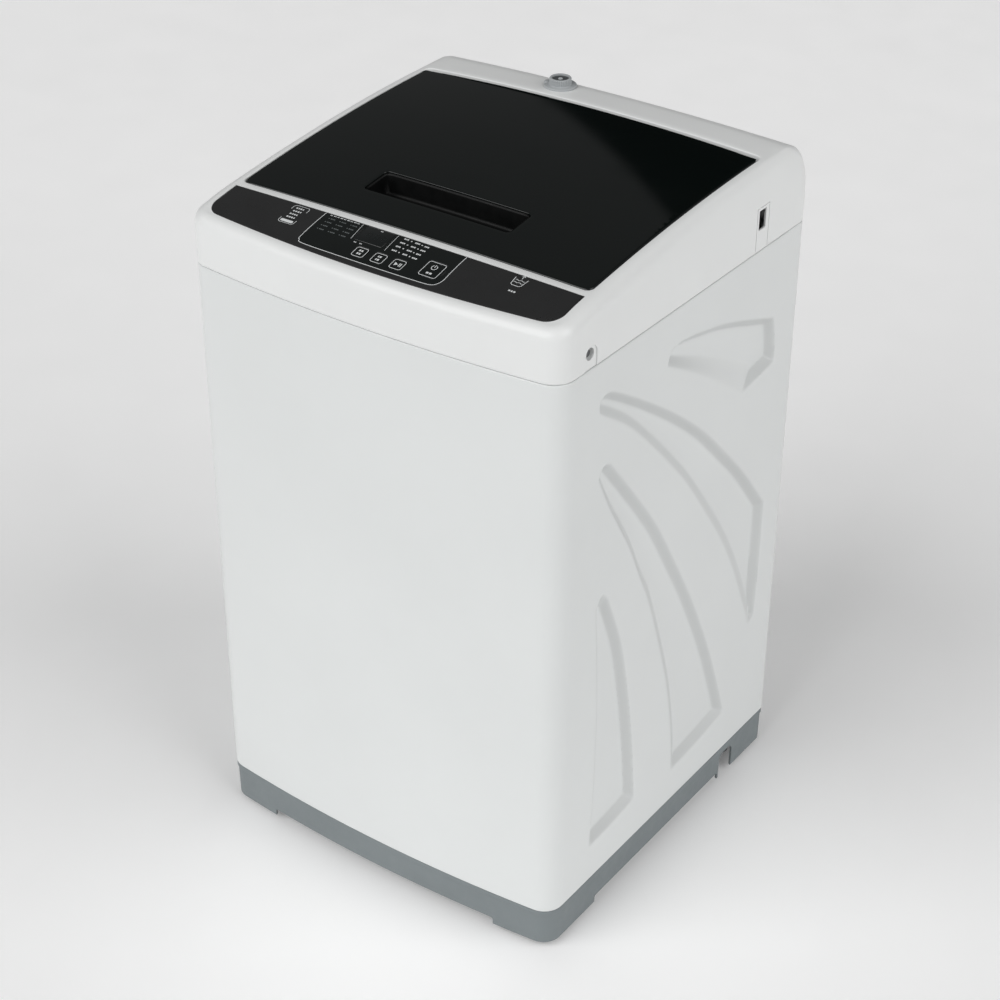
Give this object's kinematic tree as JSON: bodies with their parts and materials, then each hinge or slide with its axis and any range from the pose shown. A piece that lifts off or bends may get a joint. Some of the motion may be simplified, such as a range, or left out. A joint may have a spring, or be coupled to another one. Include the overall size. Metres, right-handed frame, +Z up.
{
  "type": "top load washing machine",
  "caption": "Top load washing machine with a bowed white cabinet, embossed sides, black gloss hinged lid, push-button panel, hung tub, spinning basket and wash pulsator.",
  "frame": {"origin": "middle of the footprint, on the floor that the feet stand on", "axes": "+Z up, the control panel and the front face towards -Y, +X to the right seen from the front"},
  "size_m": [0.5, 0.515, 0.8826],
  "materials": {
    "white_painted_steel": "satin white paint on sheet steel",
    "white_plastic": "satin white moulding",
    "black_gloss_lid": "high gloss black",
    "charcoal_fascia": "smooth charcoal film",
    "smoked_display": "smoked gloss",
    "grey_plastic": "matt grey moulding",
    "tub_plastic": "natural light grey moulding",
    "black_rubber": "matt rubber",
    "stainless_steel": "brushed",
    "zinc_steel": "zinc plated",
    "cast_aluminium": "as cast",
    "circuit_board": "solder resist",
    "blue_plastic": "pale blue moulding"
  },
  "bodies": {
    "cabinet": {"cabinet_shell": "white_painted_steel", "rear_panel": "white_painted_steel", "base_frame": "grey_plastic", "top_frame": "white_plastic", "rear_service_cover": "white_plastic", "control_fascia": "charcoal_fascia", "display_lens": "smoked_display", "control_tray": "grey_plastic", "control_board": "circuit_board", "water_inlet_valve": "grey_plastic", "inlet_filter_screen": "grey_plastic", "water_inlet_duct": "white_plastic", "pressure_switch": "blue_plastic", "lid_switch": "white_plastic", "run_capacitor": "tub_plastic", "drain_outlet": "grey_plastic", "side_screw_left": "zinc_steel", "side_screw_right": "zinc_steel", "lid_bumper_left": "black_rubber", "lid_bumper_right": "black_rubber", "back_foot_left": "black_rubber", "back_foot_right": "black_rubber", "suspension_rod_front_left": "zinc_steel", "suspension_rod_front_right": "zinc_steel", "suspension_rod_back_left": "zinc_steel", "suspension_rod_back_right": "zinc_steel"},
    "front_foot_left": {"front_foot_left": "black_rubber"},
    "front_foot_right": {"front_foot_right": "black_rubber"},
    "program_button": {"program_button": "charcoal_fascia"},
    "water_level_button": {"water_level_button": "charcoal_fascia"},
    "start_button": {"start_button": "charcoal_fascia"},
    "power_button": {"power_button": "charcoal_fascia"},
    "lid": {"lid_panel": "black_gloss_lid", "lid_inner_panel": "white_plastic", "lid_handle_cup": "black_gloss_lid", "lid_hinge_pin_left": "zinc_steel", "lid_hinge_pin_right": "zinc_steel"},
    "tub": {"outer_tub": "tub_plastic", "tub_cover_ring": "tub_plastic", "drive_bracket": "zinc_steel", "clutch_housing": "cast_aluminium", "drive_motor": "cast_aluminium", "drive_belt": "black_rubber", "drain_valve": "white_plastic", "drain_actuator": "grey_plastic", "drain_hose": "grey_plastic", "suspension_spring_front_left": "zinc_steel", "suspension_spring_front_right": "zinc_steel", "suspension_spring_back_left": "zinc_steel", "suspension_spring_back_right": "zinc_steel"},
    "drain_pull_rod": {"drain_pull_rod": "zinc_steel"},
    "drive_pulley": {"drive_pulley": "cast_aluminium"},
    "motor_pulley": {"motor_pulley": "cast_aluminium"},
    "basket": {"basket_wall": "stainless_steel", "basket_base": "tub_plastic", "balance_ring": "tub_plastic", "lint_filter": "white_plastic"},
    "pulsator": {"pulsator": "blue_plastic", "pulsator_cap": "white_plastic", "wash_shaft": "stainless_steel"}
  },
  "joints": [
    {"name": "front_foot_left_height", "type": "slide", "parent": "cabinet", "child": "front_foot_left", "axis": [0, 0, -1], "range_m": [0, 0.01]},
    {"name": "front_foot_right_height", "type": "slide", "parent": "cabinet", "child": "front_foot_right", "axis": [0, 0, -1], "range_m": [0, 0.01]},
    {"name": "program_button_press", "type": "slide", "parent": "cabinet", "child": "program_button", "axis": [0, 0.2513, -0.9679], "range_m": [0, 0.001], "stiffness_N_per_m": 300, "springref_m": -0.0006},
    {"name": "water_level_button_press", "type": "slide", "parent": "cabinet", "child": "water_level_button", "axis": [0, 0.2513, -0.9679], "range_m": [0, 0.001], "stiffness_N_per_m": 300, "springref_m": -0.0006},
    {"name": "start_button_press", "type": "slide", "parent": "cabinet", "child": "start_button", "axis": [0, 0.2513, -0.9679], "range_m": [0, 0.001], "stiffness_N_per_m": 300, "springref_m": -0.0006},
    {"name": "power_button_press", "type": "slide", "parent": "cabinet", "child": "power_button", "axis": [0, 0.2332, -0.9724], "range_m": [0, 0.001], "stiffness_N_per_m": 300, "springref_m": -0.0006},
    {"name": "lid_hinge", "type": "hinge", "parent": "cabinet", "child": "lid", "pos_m": [0, 0.1575, 0.8595], "axis": [-1, 0, 0], "range_deg": [0, 95]},
    {"name": "tub_bounce", "type": "slide", "parent": "cabinet", "child": "tub", "axis": [0, 0, 1], "range_m": [-0.012, 0.008], "stiffness_N_per_m": 12000, "springref_m": 0.0123, "deforming": ["suspension_spring_front_left", "suspension_spring_front_right", "suspension_spring_back_left", "suspension_spring_back_right", "drain_hose"]},
    {"name": "drain_pull", "type": "slide", "parent": "tub", "child": "drain_pull_rod", "axis": [0, -1, 0], "range_m": [0, 0.012]},
    {"name": "basket_spin", "type": "hinge", "parent": "tub", "child": "basket", "pos_m": [0, 0, 0.45], "axis": [0, 0, 1], "continuous": true},
    {"name": "drive_pulley_spin", "type": "hinge", "parent": "tub", "child": "drive_pulley", "pos_m": [0, 0, 0.086], "axis": [0, 0, 1], "continuous": true},
    {"name": "motor_spin", "type": "hinge", "parent": "tub", "child": "motor_pulley", "pos_m": [0.125, 0, 0.086], "axis": [0, 0, 1], "continuous": true},
    {"name": "pulsator_spin", "type": "hinge", "parent": "basket", "child": "pulsator", "pos_m": [0, 0, 0.29], "axis": [0, 0, 1], "continuous": true}
  ],
  "couplings": [
    {"joint": "pulsator_spin", "follows": "drive_pulley_spin", "ratio": 0.1923},
    {"joint": "motor_spin", "follows": "drive_pulley_spin", "ratio": 1.9}
  ]
}
